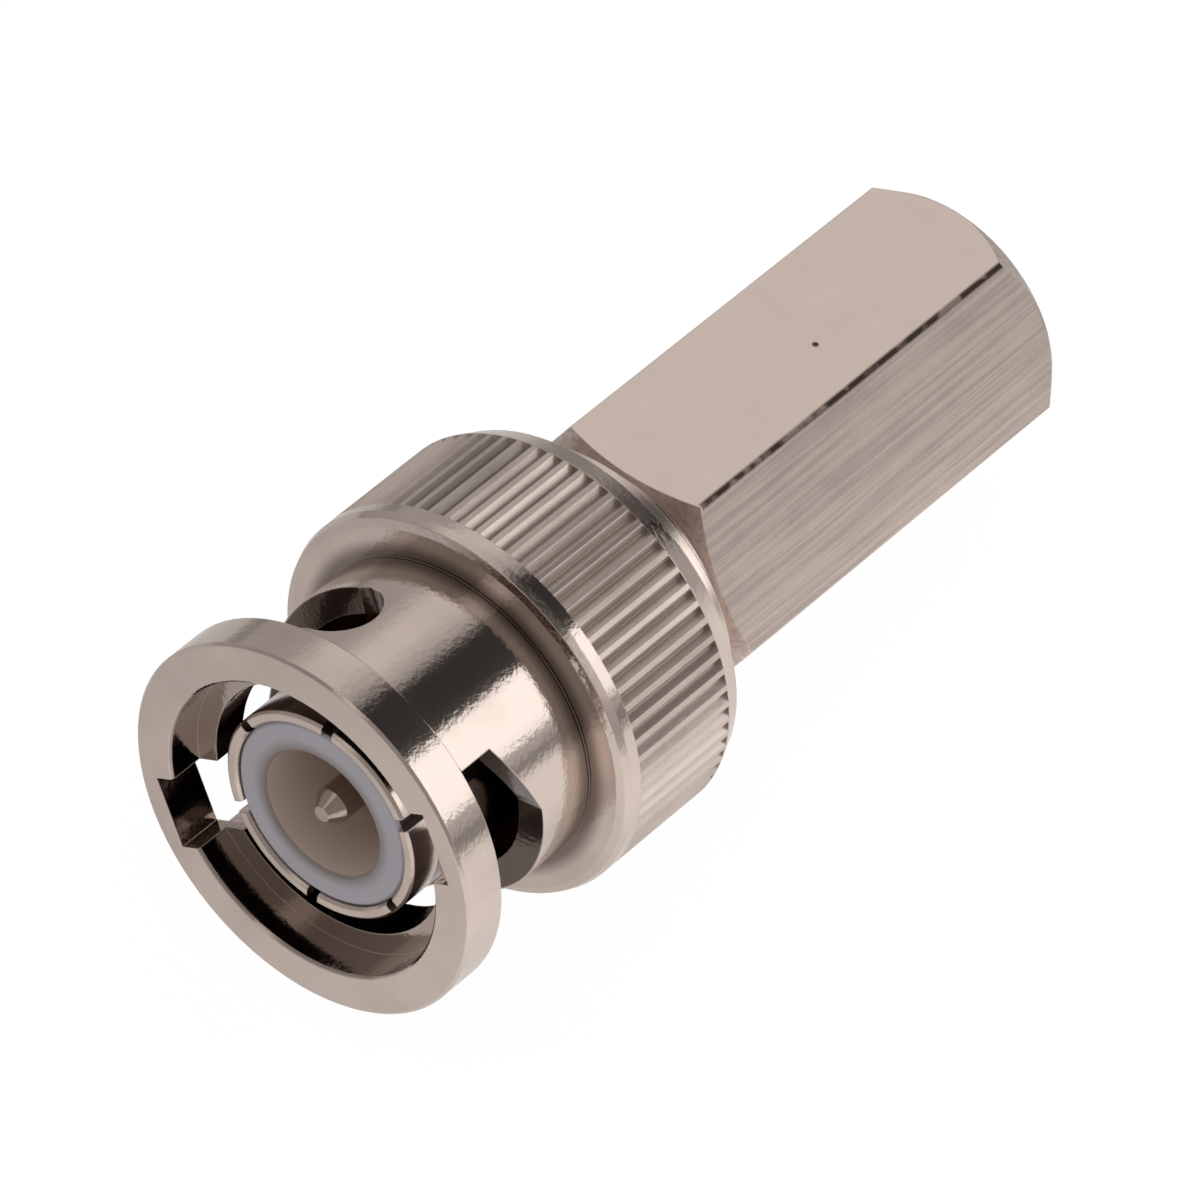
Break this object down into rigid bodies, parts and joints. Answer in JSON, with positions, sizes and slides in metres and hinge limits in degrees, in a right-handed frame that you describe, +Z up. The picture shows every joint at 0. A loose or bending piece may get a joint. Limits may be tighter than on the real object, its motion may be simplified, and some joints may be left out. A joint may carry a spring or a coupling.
{
  "type": "bnc connector",
  "caption": "Male bayonet coaxial plug: slotted outer contact, centre pin in a white insulator, knurled coupling nut with helical slots, long hexagonal cable body.",
  "frame": {"origin": "centre of the outer contact's mouth, on the connector's axis", "axes": "+Y along the axis towards the cable, -Y towards the mating connector, +Z up, square to the hexagon flat that the part lies on"},
  "size_m": [0.015, 0.0348, 0.015],
  "materials": {
    "polished_nickel": "nickel-plated brass, turned and polished",
    "satin_nickel": "nickel-plated brass, drawn hexagon bar, satin",
    "contact_nickel": "nickel-plated brass, turned",
    "spring_steel": "stamped spring steel",
    "gasket_silicone": "moulded silicone",
    "white_insulator": "turned fluoropolymer, waxy",
    "pin_plating": "plated brass pin"
  },
  "bodies": {
    "plug_body": {"hex_body": "satin_nickel", "outer_contact": "contact_nickel", "front_insulator": "white_insulator", "rear_insulator": "white_insulator", "centre_contact": "pin_plating", "sealing_gasket": "gasket_silicone", "thrust_washer": "spring_steel", "wave_spring": "spring_steel"},
    "spring_seat": {"seat_washer": "spring_steel"},
    "coupling": {"coupling_nut": "polished_nickel", "retaining_ring": "spring_steel"}
  },
  "joints": [
    {"name": "nut_slide", "type": "slide", "parent": "plug_body", "child": "spring_seat", "axis": [0, -1, 0], "range_m": [0, 0.0007], "stiffness_N_per_m": 10000, "springref_m": -0.0003, "deforming": ["wave_spring"]},
    {"name": "nut_turn", "type": "hinge", "parent": "spring_seat", "child": "coupling", "pos_m": [0, 0.006, 0], "axis": [0, 1, 0], "continuous": true}
  ]
}
